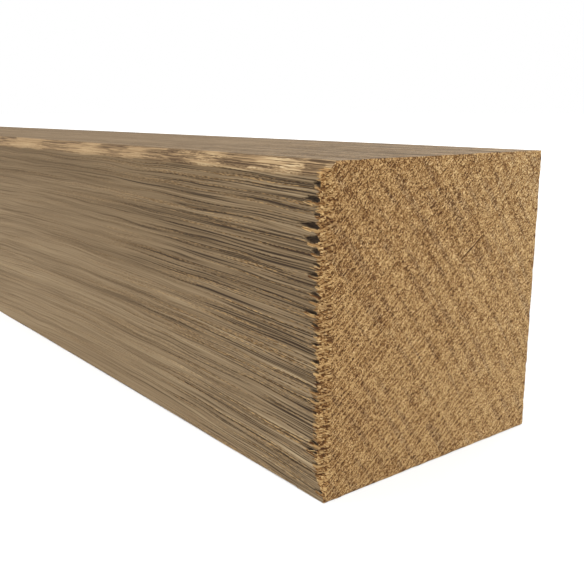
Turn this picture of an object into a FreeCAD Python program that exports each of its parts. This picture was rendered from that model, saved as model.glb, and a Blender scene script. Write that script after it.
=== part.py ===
import FreeCAD, Part
import os
import Sketcher

# A squared timber: one length of sawn hardwood, lying on its bottom face.
#
# The frame is +X along the timber, +Y from its front face to its back face, and +Z up.
# The origin is the middle of the bottom face. All sizes are in millimetres.
#
# The section is a nominal 100 mm square that has dried a little more in its width than in its
# height. Three of the long arrises are left sharp from the saw. The fourth, between the front
# and the top, is eased to a narrow flat over the whole length. Both ends are cut square.

# Driving dimensions: alias, value and what it measures.
DIMENSIONS = [
    ("timber_length", 1000.0, "end to end, along X"),
    ("section_width", 97.0, "front face to back face, along Y"),
    ("section_height", 100.0, "bottom face to top face, along Z"),
    ("eased_arris", 4.0, "leg of the flat between the front and the top"),
]

NODE = "squared_timber"
PARTS_FOLDER = "parts"
TOLERANCE = 1e-6

# A sketch names a line's two ends and its own two axes by these numbers.
LINE_START, LINE_END = 1, 2
HORIZONTAL_AXIS, VERTICAL_AXIS = -1, -2


def make_sheet(doc):
    """The spreadsheet of driving dimensions, one named cell to each."""
    sheet = doc.addObject("Spreadsheet::Sheet", "Dimensions")
    for row, (alias, value, meaning) in enumerate(DIMENSIONS, start=1):
        sheet.set(f"A{row}", alias)
        sheet.set(f"B{row}", str(value))
        sheet.set(f"C{row}", meaning)
        sheet.setAlias(f"B{row}", alias)
    doc.recompute()
    return sheet


def origin_plane(body, role):
    """One of the body's own origin planes, found by its role."""
    return next(plane for plane in body.Origin.OriginFeatures if plane.Role == role)


def draw_section(body, sheet):
    """The section across the grain: a rectangle standing on Z = 0, centred on Y = 0."""
    sketch = body.newObject("Sketcher::SketchObject", "Section")
    sketch.AttachmentSupport = [(origin_plane(body, "YZ_Plane"), "")]
    sketch.MapMode = "FlatFace"

    half_width = sheet.section_width / 2
    corners = [
        FreeCAD.Vector(-half_width, 0, 0),
        FreeCAD.Vector(half_width, 0, 0),
        FreeCAD.Vector(half_width, sheet.section_height, 0),
        FreeCAD.Vector(-half_width, sheet.section_height, 0),
    ]
    sides = [
        sketch.addGeometry(Part.LineSegment(start, end), False)
        for start, end in zip(corners, corners[1:] + corners[:1])
    ]
    bottom, back, top, front = sides

    def constrain(kind, *references):
        return sketch.addConstraint(Sketcher.Constraint(kind, *references))

    def bind(kind, side, value, alias):
        """Give a side its length, read from the cell of that name."""
        index = constrain(kind, side, LINE_START, side, LINE_END, value)
        sketch.renameConstraint(index, alias)
        sketch.setExpression(f"Constraints.{alias}", f"{sheet.Name}.{alias}")

    for side, following in zip(sides, sides[1:] + sides[:1]):
        constrain("Coincident", side, LINE_END, following, LINE_START)
    constrain("PointOnObject", bottom, LINE_START, HORIZONTAL_AXIS)
    constrain("Symmetric", bottom, LINE_START, bottom, LINE_END, VERTICAL_AXIS)
    for side in (back, front):
        constrain("Vertical", side)
    constrain("Horizontal", top)
    bind("DistanceX", bottom, sheet.section_width, "section_width")
    bind("DistanceY", back, sheet.section_height, "section_height")
    return sketch


def front_top_arris(pad, sheet):
    """The name of the long edge where the front face meets the top face."""
    middle = FreeCAD.Vector(0, -sheet.section_width / 2, sheet.section_height)
    names = [
        f"Edge{number}"
        for number, edge in enumerate(pad.Shape.Edges, start=1)
        if edge.CenterOfMass.distanceToPoint(middle) < TOLERANCE
    ]
    if len(names) != 1:
        raise RuntimeError(f"expected one front top arris, found {len(names)}")
    return names[0]


def make_timber(doc, sheet):
    """The timber: its section run out to the full length, with one arris eased."""
    body = doc.addObject("PartDesign::Body", "Timber")
    body.Label = NODE
    body.Placement = FreeCAD.Placement()

    length = body.newObject("PartDesign::Pad", "Length")
    length.Profile = draw_section(body, sheet)
    length.SideType = "Symmetric"
    length.setExpression("Length", f"{sheet.Name}.timber_length")
    doc.recompute()

    eased = body.newObject("PartDesign::Chamfer", "EasedArris")
    eased.Base = (length, [front_top_arris(length, sheet)])
    eased.ChamferType = "Equal distance"
    eased.setExpression("Size", f"{sheet.Name}.eased_arris")
    body.Tip = eased
    doc.recompute()
    return body


def check(doc, sheet, body):
    """Stop unless every object is sound and the timber is the solid that its sizes call for."""
    for item in doc.Objects:
        if "Invalid" in item.State or "Error" in item.State:
            raise RuntimeError(f"{item.Label} failed: {item.State}")
    shape = body.Shape
    if shape.isNull() or not shape.isValid() or len(shape.Solids) != 1:
        raise RuntimeError(f"{body.Label} is not one valid solid")

    section = sheet.section_width * sheet.section_height - sheet.eased_arris ** 2 / 2
    expected = section * sheet.timber_length
    if abs(shape.Volume - expected) > TOLERANCE * expected:
        raise RuntimeError(f"{body.Label} holds {shape.Volume} mm3 and not {expected} mm3")

    box = shape.BoundBox
    middle_of_base = FreeCAD.Vector(box.Center.x, box.Center.y, box.ZMin)
    if middle_of_base.Length > TOLERANCE:
        raise RuntimeError(f"{body.Label} does not stand on the middle of its bottom face")
    print(f"{body.Label}: {box.XLength:g} x {box.YLength:g} x {box.ZLength:g} mm, {shape.Volume:.0f} mm3")


def export(body):
    """Write the body's solid to a STEP file of its own name."""
    os.makedirs(PARTS_FOLDER, exist_ok=True)
    body.Shape.exportStep(os.path.join(PARTS_FOLDER, f"{body.Label}.step"))


document = FreeCAD.newDocument("SquaredTimber")
dimensions = make_sheet(document)
timber = make_timber(document, dimensions)
check(document, dimensions, timber)
export(timber)
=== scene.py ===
import math

import bmesh
import bpy
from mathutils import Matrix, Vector, noise


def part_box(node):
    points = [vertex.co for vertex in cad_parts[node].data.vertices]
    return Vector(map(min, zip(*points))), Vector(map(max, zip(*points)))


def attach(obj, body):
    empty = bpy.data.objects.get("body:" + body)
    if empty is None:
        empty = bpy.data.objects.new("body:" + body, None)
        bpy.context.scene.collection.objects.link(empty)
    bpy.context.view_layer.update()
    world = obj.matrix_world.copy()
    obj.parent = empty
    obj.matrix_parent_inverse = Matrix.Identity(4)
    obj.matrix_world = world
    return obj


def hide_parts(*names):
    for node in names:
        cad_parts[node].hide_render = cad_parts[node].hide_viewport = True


# A squared timber: grey-brown sawn sides, one eased arris and a freshly cut end.
#
# Everything is in metres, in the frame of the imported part: +X along the timber to the freshly
# cut end, +Y from the front face to the back face, +Z up, with the bottom face on Z = 0.

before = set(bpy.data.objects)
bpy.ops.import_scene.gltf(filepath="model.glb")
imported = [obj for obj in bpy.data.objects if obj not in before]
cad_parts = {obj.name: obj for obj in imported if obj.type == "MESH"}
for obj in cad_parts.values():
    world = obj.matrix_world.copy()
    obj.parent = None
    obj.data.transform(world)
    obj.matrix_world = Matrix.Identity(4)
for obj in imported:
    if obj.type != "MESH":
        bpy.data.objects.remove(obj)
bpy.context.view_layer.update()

NODE = "squared_timber"
BODY = "root"

MM = 0.001
low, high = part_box(NODE)
LENGTH, WIDTH, HEIGHT = high - low
NEAR_CORNER = Vector((high.x, low.y, low.z))

# How the timber was cut from the tree: the pith lies below and in front of the cut end's
# corner, and the grain wanders up and down in a long wave that falls towards that end.
PITH = NEAR_CORNER + Vector((0, -4.4 * HEIGHT, -3.35 * HEIGHT))
PITH_RADIUS = math.hypot(low.y + WIDTH / 2 - PITH.y, low.z + HEIGHT / 2 - PITH.z)
GRAIN_WAVE = 3.6 * MM
GRAIN_WAVE_LENGTH = LENGTH / 2
GRAIN_SPREAD = 0.5
GRAIN_FALL = math.tau * GRAIN_WAVE / GRAIN_WAVE_LENGTH

# On the cut end, the gaps between rings, between pale rays and between the short dark marks in a ring.
RING_SPACING = 5.4 * MM
RAY_SPACING = 1.9 * MM
RUNG_SPACING = 1.5 * MM

# The eased arris between the front and the top.
EASED_LEG = 4 * MM

# Brown patches left along it: their distance from the cut end and half their length, in mm.
BROWN_PATCHES = [(8, 5), (47, 12), (70, 6), (95, 17), (132, 11), (190, 24), (262, 16), (330, 22),
                 (420, 15), (505, 24), (600, 18), (715, 26), (830, 16), (925, 22)]

# The cut end's front arris, where the saw broke the fibres out.
TORN_WIDTH = 3.4 * MM
TORN_DEPTH = 2.3 * MM
TORN_FADE = 9 * MM
TORN_REGION = 15 * MM
END_REGION = 9 * MM

# Small breaks along the end arrises, by whether it is the cut end and whether it is the top.
END_CHIP = {
    (True, True): 0.8 * MM,
    (True, False): 0.4 * MM,
    (False, True): 0.9 * MM,
    (False, False): 0.9 * MM,
}
TOUCH = 0.01 * MM

# What is marked on the mesh for its finish, from 0 to 1: wood torn fresh, holes that get painted
# shade, brown stain, and the pale wood of loose fibres.
MARKS = ("torn", "hollow", "stain", "pale")

# A fine scratch across the fresh end: where it starts, right of the front face and above the
# bottom, which way it runs, and its length.
SCRATCH_START = (58 * MM, 67 * MM)
SCRATCH_WAY = (0.83, 0.56)
SCRATCH_LENGTH = 11 * MM

# Splits that run back from that arris: height, reach along the grain, width and depth, in mm.
SPLITS = [
    (93.2, 5.5, 1.4, 1.2),
    (89.0, 10.0, 1.4, 1.5),
    (85.0, 5.5, 0.8, 1.0),
    (81.4, 12.0, 1.4, 1.6),
    (77.7, 10.0, 1.9, 1.6),
    (74.5, 7.0, 1.6, 1.4),
    (70.8, 5.5, 0.9, 1.0),
    (67.6, 9.0, 0.8, 1.2),
    (65.0, 5.0, 0.7, 1.0),
    (62.4, 8.0, 0.7, 1.1),
    (60.3, 8.0, 0.7, 1.1),
    (56.6, 11.0, 0.9, 1.4),
    (53.5, 7.0, 0.7, 1.0),
    (50.5, 6.0, 0.7, 1.1),
    (47.8, 6.5, 0.8, 1.2),
    (42.5, 6.5, 0.9, 1.4),
    (39.5, 5.5, 0.9, 1.0),
    (36.5, 5.0, 0.7, 0.9),
    (33.5, 7.0, 0.8, 1.3),
    (30.8, 7.0, 0.8, 1.1),
    (27.0, 6.0, 0.7, 1.1),
    (24.0, 5.5, 0.7, 1.0),
    (20.5, 6.0, 0.7, 1.1),
    (17.5, 7.5, 0.9, 1.3),
    (14.6, 10.0, 0.9, 1.6),
    (11.0, 5.5, 0.7, 1.1),
    (8.0, 5.0, 0.7, 0.9),
    (3.0, 4.5, 0.8, 0.9),
]

# Fibres torn loose along that arris: height, where each starts and ends back from the cut end,
# how far its tip rises, and its thickness, in mm.
FIBRES = [
    (91.4, 2.5, 6.5, 0.3, 0.7),
    (87.3, 2.5, 10.5, 1.0, 1.0),
    (79.9, 2.5, 11.0, 0.9, 1.0),
    (75.9, 2.5, 8.5, 0.4, 0.8),
    (69.6, 2.5, 7.5, 0.5, 0.6),
    (56.2, 2.5, 14.0, 0.5, 0.8),
    (47.0, 2.5, 8.0, -0.5, 0.7),
    (38.0, 2.5, 6.5, 0.4, 0.5),
    (29.4, 2.5, 8.5, 0.8, 0.7),
    (20.4, 2.5, 8.2, -4.6, 0.5),
    (15.4, 2.5, 7.5, -1.0, 0.6),
    (9.2, 2.5, 6.0, 0.4, 0.5),
]
FIBRE_CUTS = 6


def colour(red, green, blue):
    """A colour in linear light, opaque."""
    return (red, green, blue, 1.0)


# Colours from dark to pale: the fresh wood, the weathered wood and the eased arris.
GOLDEN = [
    (0.0, colour(0.080, 0.028, 0.005)),
    (0.25, colour(0.235, 0.110, 0.030)),
    (0.5, colour(0.405, 0.237, 0.090)),
    (0.78, colour(0.600, 0.392, 0.168)),
    (1.0, colour(0.760, 0.545, 0.275)),
]
WEATHERED = [
    (0.0, colour(0.050, 0.029, 0.013)),
    (0.3, colour(0.165, 0.107, 0.052)),
    (0.55, colour(0.262, 0.181, 0.098)),
    (0.8, colour(0.360, 0.263, 0.150)),
    (1.0, colour(0.560, 0.430, 0.250)),
]
TAN = [
    (0.0, colour(0.090, 0.050, 0.022)),
    (0.5, colour(0.330, 0.215, 0.106)),
    (0.75, colour(0.470, 0.332, 0.178)),
    (1.0, colour(0.560, 0.425, 0.250)),
]

# What each is multiplied by: fresh wood where it is grey, weathered wood beside its vessels, and
# the top face, as painted light that makes it paler and bluer.
GREYED = colour(0.87, 0.91, 1.06)
WARMED = colour(1.14, 0.96, 0.66)
TOP_PAINTED_LIGHT = colour(1.00, 1.02, 1.07)

# Painted shade, laid into the deep parts of the splits.
SPLIT_PAINTED_SHADE = colour(0.030, 0.016, 0.008)
GRAIN_DEPTH = 0.25 * MM
WHITE = colour(1, 1, 1)
FLOOR_GREY = colour(0.55, 0.55, 0.55)

# The lamps: name, place, target, size in metres and power in watts.
LAMPS = [
    ("end_light", (1.9, -0.5, 2.3), (0.5, 0, 0.05), 1.4, 74),
    ("side_light", (-1.0, -1.5, 0.9), (-0.3, 0, 0.05), 1.2, 18),
    ("back_light", (-0.4, 2.1, 1.3), (-0.1, 0, 0.05), 1.6, 28),
]
AMBIENT = 0.50

# The camera: its place from the near corner in timber heights, where it looks, and its lens in mm.
CAMERA_OFFSET = Vector((1.5759, -1.3594, 1.1259))
CAMERA_AZIMUTH = math.radians(51.772)
CAMERA_ELEVATION = math.radians(13.095)
CAMERA_LENS = 47.80


# ---------------------------------------------------------------- the timber's mesh

def graded(span, first, last, coarse, growth):
    """Places along a span: steps grow from the first size, and shrink again to the last."""
    def run(step):
        places = [0.0]
        while places[-1] + step < span / 2:
            places.append(places[-1] + step)
            step = min(step * growth, coarse)
        return places

    return run(first) + [span - place for place in reversed(run(last))]


def section_grid(mesh, across, upward):
    """The cut end as a grid of faces, its lines at the given places across and upward."""
    cells_across, cells_upward = len(across) - 1, len(upward) - 1
    made = bmesh.ops.create_grid(mesh, x_segments=cells_across, y_segments=cells_upward, size=0.5)
    for vert in made["verts"]:
        column = round((vert.co.x + 0.5) * cells_across)
        row = round((vert.co.y + 0.5) * cells_upward)
        vert.co = Vector((high.x, low.y + across[column], low.z + upward[row]))


def block(mesh):
    """The timber as a closed block of faces, finest at its cut end."""
    across = graded(WIDTH, 0.4 * MM, 0.6 * MM, 0.9 * MM, 1.12)
    upward = graded(HEIGHT, 0.6 * MM, 0.5 * MM, 0.9 * MM, 1.12)
    along = graded(LENGTH, 0.4 * MM, 1.5 * MM, 14 * MM, 1.17)
    section_grid(mesh, across, upward)
    cap = mesh.faces[:]
    rim = [edge for edge in mesh.edges if edge.is_boundary]
    for start, end in zip(along, along[1:]):
        made = bmesh.ops.extrude_edge_only(mesh, edges=rim)["geom"]
        rim = [item for item in made if isinstance(item, bmesh.types.BMEdge)]
        ring = [item for item in made if isinstance(item, bmesh.types.BMVert)]
        bmesh.ops.translate(mesh, verts=ring, vec=(start - end, 0, 0))
        rim = [edge for edge in rim if edge.is_boundary]
    copy = bmesh.ops.duplicate(mesh, geom=cap)["geom"]
    far_cap = [item for item in copy if isinstance(item, bmesh.types.BMVert)]
    bmesh.ops.translate(mesh, verts=far_cap, vec=(-LENGTH, 0, 0))
    bmesh.ops.remove_doubles(mesh, verts=mesh.verts, dist=0.05 * MM)
    bmesh.ops.recalc_face_normals(mesh, faces=mesh.faces)


def refine_torn_arris(mesh):
    """Add lines beside the cut end's front arris, for the splits."""
    def beside(vert):
        back, inward = high.x - vert.co.x, vert.co.y - low.y
        return back < TORN_REGION and inward < END_REGION

    upright = [
        edge for edge in mesh.edges
        if all(beside(vert) for vert in edge.verts)
        and abs(edge.verts[0].co.z - edge.verts[1].co.z) > 0.1 * MM
    ]
    bmesh.ops.subdivide_edges(mesh, edges=upright, cuts=2, use_grid_fill=True)


def wobble(first, second, third=0.0):
    """Smooth noise from -1 to 1 at a place."""
    return noise.noise(Vector((first, second, third)))


def fade(value):
    """A smooth step from 0 to 1."""
    value = min(max(value, 0.0), 1.0)
    return value * value * (3 - 2 * value)


def wood_place(co):
    """A place as radius from the pith, distance round it and distance along the grain."""
    stretch = 1 - GRAIN_SPREAD * (co.z - low.z) / HEIGHT
    wave = GRAIN_WAVE * math.sin(math.tau * (co.x - high.x) / GRAIN_WAVE_LENGTH * stretch)
    up = co.z + wave - PITH.z
    out = co.y - PITH.y
    return math.hypot(up, out), math.atan2(up, out) * PITH_RADIUS, co.x


def side_relief(co):
    """How deep the weathered grain is worn at a place on a long face."""
    radius, turn, along = wood_place(co)
    broad = wobble(radius / (5 * MM), turn / (7 * MM), along / 0.35)
    narrow = wobble(radius / (1.8 * MM), turn / (1.8 * MM), along / 0.12)
    return (0.22 + 0.13 * broad + 0.09 * narrow) * MM


def end_relief(co):
    """How deep the saw left the end grain at a place on an end face."""
    radius, turn, along = wood_place(co)
    ring = wobble(radius / (4.5 * MM), turn / (40 * MM), along / 0.1)
    pluck = wobble(radius / (3 * MM), turn / (1.6 * MM), along / 0.1)
    sweep = wobble(co.y / 0.05, co.z / 0.01, 3.1)
    return (0.26 + 0.08 * ring + 0.10 * pluck + 0.06 * sweep) * MM


def chip_leg(place, size, grain):
    """The leg of the small break along an arris, at a place along it."""
    coarse = wobble(place / (9 * grain), 1.7, size / MM)
    fine = wobble(place / (2.2 * grain), 5.2, size / MM)
    return size * max(0.12, 0.5 + 0.55 * coarse + 0.55 * fine)


def eased_leg(along):
    """The leg of the eased arris at a place along the timber."""
    return EASED_LEG * (1 + 0.16 * wobble(along / 0.05, 2.2) + 0.10 * wobble(along / 0.013, 8.1))


def stain_at(co):
    """How brown the eased arris is at a place along it, from 0 to 1."""
    back = high.x - co.x
    return max(fade(1.5 - abs(back - place * MM) / (half * MM)) for place, half in BROWN_PATCHES)


def torn_legs(up):
    """The width and the depth of the torn band at a height."""
    present = fade(up / TORN_FADE)
    ragged = 0.22 * wobble(up / (4 * MM), 0.3) + 0.12 * wobble(up / (1.3 * MM), 7.7)
    sunk = 0.25 * wobble(up / (6 * MM), 3.3)
    return TORN_WIDTH * present * (1 + ragged) + 0.15 * MM, TORN_DEPTH * present * (1 + sunk) + 0.1 * MM


def split_at(back, up, width):
    """How deep the splits reach beside the torn arris, and how much torn wood shows under them."""
    deepest = lip = 0.0
    for height, reach, tall, depth in SPLITS:
        share = (reach * MM - back) / (reach * MM - 0.95 * width)
        if not 0 < share < 1:
            continue
        open_part = share ** 0.5 * min(1.0, 4 * (1 - share)) ** 0.5
        bend = 0.35 * MM * wobble(back / (2 * MM), height)
        centre = height * MM + GRAIN_FALL * back + bend
        half = 0.75 * tall * MM * open_part
        beside = 1 - abs(up - centre) / half
        if beside > 0:
            deepest = max(deepest, depth * MM * open_part * beside ** 0.3)
        under = 1 - abs(up - centre + half + 0.35 * MM) / (0.5 * MM)
        if under > 0:
            lip = max(lip, under * fade(3 * share))
    return deepest, lip


def cut_corner(first, second, first_leg, second_leg):
    """Two distances in from an arris, brought on to the flat that has these legs, and how far."""
    short = 1 - first / first_leg - second / second_leg
    if short <= 0:
        return first, second, 0.0
    return first + short * first_leg / 2, second + short * second_leg / 2, short


def shape_vertex(co):
    """Where a vertex of the plain block belongs on the timber, and how torn and hollow it is."""
    middle = (low + high) / 2
    side = [1 if co[axis] > middle[axis] else -1 for axis in range(3)]
    corner = Vector(high[axis] if side[axis] > 0 else low[axis] for axis in range(3))
    back, inward, down = (abs(corner[axis] - co[axis]) for axis in range(3))
    on_face = [distance < TOUCH for distance in (back, inward, down)]
    cut_end, front, top = side[0] > 0, side[1] < 0, side[2] > 0
    worn, sawn = side_relief(co), end_relief(co)
    torn = hollow = 0.0

    if front and top:
        leg = eased_leg(co.x)
        inward, down, _ = cut_corner(inward, down, leg, leg)
    else:
        leg = chip_leg(co.x + side[1] + 2 * side[2], 0.4 * MM, 3 * MM)
        inward, down, torn = cut_corner(inward, down, leg, leg)

    leg = chip_leg(co.y + side[0] + 2 * side[2], END_CHIP[cut_end, top], MM)
    back, down, broken = cut_corner(back, down, leg, leg)
    torn = max(torn, 3 * broken)

    if cut_end and front:
        if back < TORN_REGION and inward < END_REGION:
            up = co.z - low.z
            width, depth = torn_legs(up)
            band = fade((1.15 - back / width) / 0.3)
            deep, lip = split_at(back, up, width) if on_face[1] else (0.0, 0.0)
            rough = 0.08 * MM * band * (1 + wobble(co.x / (1.2 * MM), co.z / (0.7 * MM)))
            back, inward, broken = cut_corner(back, inward, width, depth)
            inward += (deep + rough) * (1 - inward / END_REGION)
            torn = max(torn, 3 * broken, 0.62 * fade(1.3 - back / (1.5 * width)) * on_face[1], lip)
            # How deep the split is here: the finish darkens it with painted shade.
            hollow = min(deep / MM, 1.0)
    else:
        leg = chip_leg(co.z + 3 * side[0] + side[1], 0.9 * MM, MM)
        back, inward, broken = cut_corner(back, inward, leg, leg)
        torn = max(torn, 3 * broken)

    back += sawn * on_face[0]
    inward += worn * on_face[1]
    down += worn * on_face[2]
    moved = Vector(place - way * inset for place, way, inset in zip(corner, side, (back, inward, down)))
    return moved, min(1.0, torn), hollow


def add_fibre(mesh, layers, height, start, reach, rise, thick):
    """One torn fibre: a thin closed taper that lies along the front, rooted in the torn arris."""
    verts_before, edges_before = len(mesh.verts), len(mesh.edges)
    bmesh.ops.create_cone(
        mesh, cap_ends=True, segments=6, radius1=thick * MM / 2, radius2=0.04 * MM, depth=1.0)
    lengthwise = [
        edge for edge in mesh.edges[:][edges_before:]
        if abs(edge.verts[0].co.z - edge.verts[1].co.z) > 0.5
    ]
    bmesh.ops.subdivide_edges(mesh, edges=lengthwise, cuts=FIBRE_CUTS)
    for vert in mesh.verts[:][verts_before:]:
        share = vert.co.z + 0.5
        back = (start + (reach - start) * share) * MM
        inward = (0.22 + 0.9 * (1 - share) ** 2) * MM
        up = (height + rise * share ** 2) * MM
        vert.co = Vector((high.x - back, low.y + inward + vert.co.x, low.z + up - vert.co.y))
        for layer in layers:
            vert[layer] = 1.0


def make_timber():
    """The whole timber as one closed mesh, with its torn places marked for its finish and its hollow
    places for painted shade.
    """
    mesh = bmesh.new()
    block(mesh)
    refine_torn_arris(mesh)
    torn, hollow, stain, pale = [mesh.verts.layers.float.new(name) for name in MARKS]
    for vert in mesh.verts:
        vert[stain] = stain_at(vert.co)
        vert.co, vert[torn], vert[hollow] = shape_vertex(vert.co)
    for fibre in FIBRES:
        add_fibre(mesh, (torn, pale), *fibre)
    return finished("sawn_timber", mesh)


def finished(name, mesh):
    """The bmesh as an object of that name, smooth but for its arrises."""
    data = bpy.data.meshes.new(name)
    mesh.to_mesh(data)
    mesh.free()
    data.shade_smooth()
    data.set_sharp_from_angle(angle=math.radians(50))
    piece = bpy.data.objects.new(name, data)
    bpy.context.scene.collection.objects.link(piece)
    return piece


# ---------------------------------------------------------------- the finishes

class Socket:
    """One output in a material's nodes. Arithmetic on it adds Math nodes."""

    def __init__(self, nodes, output):
        self.nodes = nodes
        self.output = output

    def math(self, operation, *values):
        return self.nodes.add("ShaderNodeMath", {"operation": operation}, values)

    def __add__(self, other):
        return self.math("ADD", self, other)

    def __sub__(self, other):
        return self.math("SUBTRACT", self, other)

    def __rsub__(self, other):
        return self.math("SUBTRACT", other, self)

    def __mul__(self, other):
        return self.math("MULTIPLY", self, other)

    def size(self):
        return self.math("ABSOLUTE", self)

    def sine(self):
        return self.math("SINE", self)

    def root(self):
        return self.math("SQRT", self)

    def angle_over(self, other):
        return self.math("ARCTAN2", self, other)

    def larger(self, other):
        return self.math("MAXIMUM", self, other)

    __radd__ = __add__
    __rmul__ = __mul__


class Nodes:
    """A material's node tree, with one method that adds any node to it."""

    def __init__(self, material):
        material.use_nodes = True
        self.tree = material.node_tree
        self.tree.nodes.clear()

    def add(self, kind, settings=None, inputs=(), output=0):
        """Add a node: first its settings, then its sockets' values or links, by number or name."""
        node = self.tree.nodes.new(kind)
        for name, value in (settings or {}).items():
            if name == "stops":
                set_stops(node.color_ramp, value)
            else:
                setattr(node, name, value)
        for key, value in inputs.items() if isinstance(inputs, dict) else enumerate(inputs):
            if isinstance(value, Socket):
                self.tree.links.new(value.output, node.inputs[key])
            else:
                node.inputs[key].default_value = value
        return Socket(self, node.outputs[output]) if node.outputs else None

    def mix(self, factor, first, second, blend="MIX"):
        """Two colours mixed by a factor."""
        settings = {"data_type": "RGBA", "blend_type": blend, "clamp_factor": True}
        return self.add("ShaderNodeMix", settings, {0: factor, 6: first, 7: second}, output=2)

    def ramp(self, value, start, end):
        """A value taken smoothly from 0 at the start to 1 at the end."""
        settings = {"interpolation_type": "SMOOTHSTEP"}
        return self.add("ShaderNodeMapRange", settings, {0: value, 1: start, 2: end, 3: 0.0, 4: 1.0})

    def noise(self, place, size, detail=2.0, roughness=0.5, shift=0.0):
        """Noise from 0 to 1 whose lumps have this size along each axis of the place."""
        return self.add("ShaderNodeTexNoise", {"noise_dimensions": "3D"}, {
            "Vector": self.cells(place, size, shift), "Scale": 1.0,
            "Detail": detail, "Roughness": roughness})

    def voronoi(self, place, size, shift, output):
        """Random cells of about this size: each cell's colour, or the distance from its middle."""
        return self.add("ShaderNodeTexVoronoi", {"feature": "F1"}, {
            "Vector": self.cells(place, size, shift), "Scale": 1.0, "Randomness": 1.0}, output=output)

    def cells(self, place, size, shift=0.0):
        """A place counted in cells of this size."""
        per_metre = tuple(1 / length for length in size)
        moved = (shift, 0.37 * shift, 0.71 * shift)
        return self.add("ShaderNodeVectorMath", {"operation": "MULTIPLY_ADD"}, (place, per_metre, moved))

    def colours(self, stops, value):
        """The colour that a value has between these stops."""
        return self.add("ShaderNodeValToRGB", {"stops": stops}, (value,))

    def tinted(self, factor, shade, tint):
        """A colour taken toward its product with a tint."""
        return self.mix(factor, shade, self.mix(1.0, shade, tint, "MULTIPLY"))

    def lerp(self, factor, first, second):
        """Two values mixed by a factor."""
        return first + (second - first) * factor

    def parts(self, place):
        """The three parts of a place or a colour."""
        return [self.add("ShaderNodeSeparateXYZ", None, (place,), output=axis) for axis in range(3)]

    def attribute(self, name):
        """A value that is marked on the mesh."""
        return self.add("ShaderNodeAttribute", {"attribute_name": name}, output=2)


def set_stops(ramp, stops):
    """Give a colour ramp its stops: pairs of place and colour."""
    for number, (place, shade) in enumerate(stops):
        stop = ramp.elements[number] if number < 2 else ramp.elements.new(place)
        stop.position = place
        stop.color = shade


def wood_place_nodes(nodes):
    """The place as its parts, and as the radius, distance round and distance along of wood_place."""
    place = nodes.add("ShaderNodeTexCoord", output=3)
    along, across, up = nodes.parts(place)
    out = across - PITH.y
    stretch = 1 - (up - low.z) * (GRAIN_SPREAD / HEIGHT)
    wave = ((along - high.x) * (math.tau / GRAIN_WAVE_LENGTH) * stretch).sine() * GRAIN_WAVE
    rise = up + wave - PITH.z
    radius = (out * out + rise * rise).root()
    turn = rise.angle_over(out) * PITH_RADIUS
    grain = nodes.add("ShaderNodeCombineXYZ", None, (radius, turn, along))
    return along, across, up, grain


def scratch_marks(nodes, across, up):
    """Where the scratch on the cut end is, and the pale line along one side of it, a painted highlight."""
    over = across - (low.y + SCRATCH_START[0])
    above = up - (low.z + SCRATCH_START[1])
    off_scratch = above * SCRATCH_WAY[0] - over * SCRATCH_WAY[1]
    from_middle = (over * SCRATCH_WAY[0] + above * SCRATCH_WAY[1] - SCRATCH_LENGTH / 2).size()
    in_reach = nodes.ramp(from_middle, SCRATCH_LENGTH / 2, SCRATCH_LENGTH / 2 - 1 * MM)
    line = in_reach * nodes.ramp(off_scratch.size(), 0.36 * MM, 0.14 * MM)
    # A painted highlight along one side of the scratch.
    lip = in_reach * nodes.ramp((off_scratch - 0.5 * MM).size(), 0.36 * MM, 0.14 * MM)
    return line, lip


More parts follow.
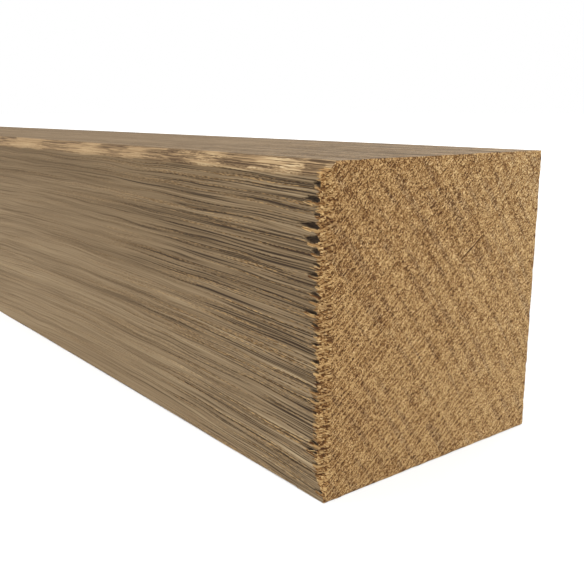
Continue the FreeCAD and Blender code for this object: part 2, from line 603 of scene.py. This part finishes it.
def end_grain(nodes, grain, across, up):
    """The cut end: its tone, how grey it is, and its height."""
    patches = nodes.noise(grain, (6 * MM, 12 * MM, 0.1), detail=2.0, roughness=0.5, shift=3.0)
    rings = nodes.noise(grain, (4.0 * MM, 90 * MM, 0.3), detail=1.0, roughness=0.7, shift=11.0)
    drift = nodes.noise(grain, (0.12, 4 * MM, 0.08), detail=1.0, shift=5.0)
    stretches = nodes.noise(grain, (8 * MM, 1.5 * MM, 20 * MM), detail=0.0, shift=25.0)
    rough = nodes.noise(grain, (0.78 * MM, 0.32 * MM, 12 * MM), detail=1.0, roughness=0.7, shift=7.0)
    specks = nodes.noise(grain, (0.44 * MM, 0.36 * MM, 12 * MM), detail=0.0, shift=9.0)
    groups = nodes.noise(grain, (1.6 * MM, 2.4 * MM, 12 * MM), detail=1.0, shift=15.0)
    fibres = cut_fibres(nodes, grain, (2.2 * MM, 0.32 * MM, 12 * MM), 31.0)
    grains = cut_fibres(nodes, grain, (0.42 * MM, 0.40 * MM, 12 * MM), 37.0)
    long_pores = pore_cells(nodes, grain, (3.6 * MM, 1.6 * MM, 12 * MM), 0.24, 0.12)

    radius, turn, _ = nodes.parts(grain)
    rightward = (across - low.y) * (1 / WIDTH)
    upward = (up - low.z) * (1 / HEIGHT)
    near_pith = nodes.ramp(rightward + upward, 1.45, 0.55)
    ray = (turn * (math.tau / RAY_SPACING) + 8 * drift).sine()
    ray_lines = nodes.ramp(ray, 0.60, 0.92) * nodes.ramp(stretches, 0.34, 0.50) * (0.10 + 0.90 * near_pith)
    late_wood = nodes.ramp((radius * (math.tau / RING_SPACING) + 9 * rings).sine(), 0.0, 0.8)
    rungs = nodes.ramp((turn * (math.tau / RUNG_SPACING) + 16 * drift).sine(), 0.30, 0.85)
    rungs = rungs * nodes.ramp(groups, 0.42, 0.52) * (0.15 + 0.85 * late_wood)
    dark_specks = nodes.ramp(specks, 0.56, 0.64)
    strands = nodes.ramp(rough, 0.42, 0.58)
    coarse = (0.12 * (strands - 0.5) + 0.32 * (fibres - 0.5) + 0.76 * (grains - 0.5)
              - 0.38 * dark_specks - 0.24 * rungs - 0.10 * long_pores)
    scratch, scratch_highlight = scratch_marks(nodes, across, up)
    # The scratch gets painted shade, and a painted highlight along one side of it.
    tone = (0.425 + 0.18 * rightward + 0.05 * (patches - 0.5) + 0.10 * (rings - 0.5) - 0.07 * late_wood
            - 0.60 * scratch + 0.30 * scratch_highlight
            + 0.21 * ray_lines + (1 - 0.8 * ray_lines) * coarse)
    dirt = nodes.ramp(rightward + upward + 0.5 * (patches - 0.5), 1.70, 1.90)
    dirt = dirt * nodes.ramp(groups, 0.42, 0.58)
    grey = (late_wood * nodes.ramp(patches, 0.42, 0.62)).larger(dirt)
    height = (0.2 * strands + 0.15 * fibres + 0.25 * grains + 0.3 * ray_lines
              - 0.4 * dark_specks - 0.3 * rungs - 0.5 * long_pores - 0.8 * scratch)
    return tone, grey, height


def cut_fibres(nodes, grain, spacing, shift):
    """Fibres cut across: one lightness to a fibre, from 0 to 1."""
    return nodes.parts(nodes.voronoi(grain, spacing, shift, "Color"))[0]


def pore_cells(nodes, grain, spacing, widest, narrowest):
    """Pores: one dark spot to a cell, and none in about a third of the cells."""
    shift = spacing[0] / MM
    distance = nodes.voronoi(grain, spacing, shift, "Distance")
    chance = nodes.parts(nodes.voronoi(grain, spacing, shift, "Color"))[0]
    return nodes.ramp(distance + 0.35 * chance * (widest - narrowest), widest, narrowest)


def weathered_side(nodes, grain, along, up, topside):
    """The sawn and weathered sides: their tone, how golden they are, and their height."""
    waves = nodes.noise(grain, (5 * MM, 5 * MM, 0.04), detail=1.0, shift=14.0)
    sway = 1.6 * MM * (waves - 0.5)
    grain = nodes.add("ShaderNodeVectorMath", {"operation": "ADD"}, (
        grain, nodes.add("ShaderNodeCombineXYZ", None, (sway, sway, 0.0))))
    broad = nodes.noise(grain, (4 * MM, 6 * MM, 0.20), detail=2.0, shift=2.0)
    bands = nodes.noise(grain, (1.3 * MM, 1.3 * MM, 0.17), detail=1.0, roughness=0.5, shift=4.0)
    lines = nodes.noise(grain, (0.44 * MM, 0.44 * MM, 0.06), detail=1.0, roughness=0.7, shift=6.0)
    vessels = nodes.noise(grain, (0.34 * MM, 0.34 * MM, 1.8 * MM), detail=0.0, shift=8.0)
    zones = nodes.noise(grain, (0.32 * MM, 0.5 * MM, 0.05), detail=0.0, shift=10.0)
    clusters = nodes.noise(grain, (3.0 * MM, 6.0 * MM, 0.10), detail=1.0, shift=12.0)

    near_an_end = nodes.ramp(along.size(), LENGTH / 2 - 0.20, LENGTH / 2)
    crisp = 0.25 + 0.75 * near_an_end * near_an_end
    dark = nodes.ramp(bands, 0.54, 0.68)
    thin = nodes.ramp(lines, 0.54, 0.64) * crisp
    near_vessels = nodes.ramp(zones + 0.5 * (clusters - 0.5), 0.57, 0.64) * crisp
    dashes = nodes.ramp(vessels, 0.50, 0.60) * near_vessels
    bright = nodes.ramp(vessels, 0.47, 0.37) * near_vessels
    upper = nodes.ramp(up, low.z + 0.25 * HEIGHT, low.z + 0.75 * HEIGHT)
    toward_cut = nodes.ramp(along, high.x - 0.26, high.x)
    # Darker toward the top of a side and toward the cut end; painted shade on the top face, less near the
    # cut end.
    tone = (0.60 + 0.46 * (broad - 0.5) - 0.34 * (bands - 0.5) - 1.6 * crisp * (lines - 0.5)
            - 0.04 * dark - 0.30 * thin - 0.30 * dashes + 0.20 * bright
            - 0.14 * upper - 0.06 * toward_cut + (0.08 * toward_cut - 0.10) * topside)
    height = 0.6 - 0.25 * dark - 0.5 * thin - 0.5 * dashes
    return tone, dashes.larger(bright), height


def timber_finish():
    """Grey-brown weathered sides, a tan eased arris, and golden wood where it is freshly cut or torn; the
    splits, the top face and the scratch on the cut end carry painted light and shade.
    """
    material = bpy.data.materials.new("oak_timber")
    nodes = Nodes(material)
    along, across, up, grain = wood_place_nodes(nodes)
    torn, hollow, stain, pale = (nodes.attribute(name) for name in MARKS)
    topside = nodes.ramp(up, high.z - 1.5 * MM, high.z - 0.5 * MM)

    end_tone, end_grey, end_height = end_grain(nodes, grain, across, up)
    side_tone, side_gold, side_height = weathered_side(nodes, grain, along, up, topside)

    golden = nodes.colours(GOLDEN, nodes.lerp(pale, end_tone, 0.80 + 0.35 * (end_tone - 0.5)))
    golden = nodes.tinted(end_grey * 0.65, golden, GREYED)

    weathered = nodes.colours(WEATHERED, side_tone)
    weathered = nodes.tinted(side_gold, weathered, WARMED)
    # Painted light: the top face tinted paler and bluer.
    weathered = nodes.tinted(topside, weathered, TOP_PAINTED_LIGHT)

    # The eased arris shows lighter wood, with brown left in its low places.
    ragged = nodes.noise(grain, (2.0 * MM, 2.0 * MM, 0.014), detail=3.0, shift=13.0)
    streaks = nodes.noise(grain, (0.9 * MM, 0.9 * MM, 0.022), detail=2.0, shift=17.0)
    from_arris = (across - low.y) + (high.z - up) + 2.0 * MM * (ragged - 0.5)
    eased = nodes.ramp(from_arris, EASED_LEG * 1.35, EASED_LEG * 1.15)
    stained = nodes.ramp(stain * 0.42 + 1.5 * (streaks - 0.5), 0.26, 0.44)
    tan_tone = side_tone + 0.14 + 0.45 * (streaks - 0.5) - 0.38 * stained
    tan = nodes.colours(TAN, tan_tone)

    frayed = nodes.noise(grain, (0.55 * MM, 0.55 * MM, 3.5 * MM), detail=2.0, roughness=0.6, shift=19.0)
    from_end = (along.size() - LENGTH / 2 + 0.7 * MM) * (1 / MM)
    fresh = nodes.ramp(from_end + 0.5 * (ragged - 0.5), 0.0, 0.15).larger(
        nodes.ramp(torn + 1.1 * (frayed - 0.5), 0.28, 0.36))
    surface = nodes.mix(eased, weathered, tan)
    surface = nodes.mix(fresh, surface, golden)
    # Painted shade in the deep parts of the splits.
    surface = nodes.mix(nodes.ramp(hollow, 0.15, 0.65) * 0.85, surface, SPLIT_PAINTED_SHADE)

    height = nodes.lerp(fresh, side_height, end_height)
    bump = nodes.add("ShaderNodeBump", None, {"Strength": 1.0, "Distance": GRAIN_DEPTH, "Height": height})
    shader = nodes.add("ShaderNodeBsdfPrincipled", None, {
        "Base Color": surface, "Roughness": 0.85, "Normal": bump, "Specular IOR Level": 0.3})
    nodes.add("ShaderNodeOutputMaterial", None, {"Surface": shader})
    return material


# ---------------------------------------------------------------- floor, light and camera

def make_floor():
    """A wide pale floor under the timber."""
    mesh = bmesh.new()
    bmesh.ops.create_grid(mesh, x_segments=1, y_segments=1, size=30 * LENGTH)
    data = bpy.data.meshes.new("floor")
    mesh.to_mesh(data)
    mesh.free()
    floor = bpy.data.objects.new("floor", data)
    bpy.context.scene.collection.objects.link(floor)
    material = bpy.data.materials.new("pale_floor")
    nodes = Nodes(material)
    seen = nodes.add("ShaderNodeLightPath", output=0)
    place = nodes.add("ShaderNodeTexCoord", output=3)
    distance = nodes.add("ShaderNodeVectorMath", {"operation": "LENGTH"}, (place,), output=1)
    glow_strength = 0.36 + 0.62 * nodes.ramp(distance, 0.8 * LENGTH, 3 * LENGTH)
    diffuse = nodes.add("ShaderNodeBsdfDiffuse", None, {"Color": FLOOR_GREY})
    glow = nodes.add("ShaderNodeEmission", None, {"Color": WHITE, "Strength": seen * glow_strength})
    both = nodes.add("ShaderNodeAddShader", None, (diffuse, glow))
    nodes.add("ShaderNodeOutputMaterial", None, {"Surface": both})
    data.materials.append(material)


def make_world():
    """Even white surroundings, at full white only where the camera sees them."""
    world = bpy.data.worlds.new("surroundings")
    bpy.context.scene.world = world
    nodes = Nodes(world)
    seen = nodes.add("ShaderNodeLightPath", output=0)
    strength = seen * (1.0 - AMBIENT) + AMBIENT
    background = nodes.add("ShaderNodeBackground", None, {"Color": WHITE, "Strength": strength})
    nodes.add("ShaderNodeOutputWorld", None, {"Surface": background})


def aim(thing, place, target):
    """Put a lamp or a camera at a place, looking at a target."""
    thing.location = place
    thing.rotation_mode = "QUATERNION"
    thing.rotation_quaternion = (target - place).to_track_quat("-Z", "Y")
    bpy.context.scene.collection.objects.link(thing)


def make_lamp(name, place, target, size, power):
    """A round soft lamp, its place and target in metres, its power in watts."""
    lamp = bpy.data.lights.new(name, "AREA")
    lamp.shape = "DISK"
    lamp.size = size
    lamp.energy = power
    aim(bpy.data.objects.new(name, lamp), Vector(place), Vector(target))


def make_camera():
    """A camera at eye level with the near end, just above and in front of its corner."""
    data = bpy.data.cameras.new("camera")
    data.lens = CAMERA_LENS
    data.sensor_width = 36
    data.clip_start, data.clip_end = 0.01 * LENGTH, 100 * LENGTH
    camera = bpy.data.objects.new("camera", data)
    place = NEAR_CORNER + CAMERA_OFFSET * HEIGHT
    level = math.cos(CAMERA_ELEVATION)
    ahead = Vector((
        -math.sin(CAMERA_AZIMUTH) * level,
        math.cos(CAMERA_AZIMUTH) * level,
        -math.sin(CAMERA_ELEVATION)))
    aim(camera, place, place + ahead)
    bpy.context.scene.camera = camera


timber = make_timber()
timber.data.materials.append(timber_finish())
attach(timber, BODY)
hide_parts(NODE)

make_floor()
make_world()
for lamp_settings in LAMPS:
    make_lamp(*lamp_settings)
make_camera()
bpy.context.scene.view_settings.view_transform = "Standard"
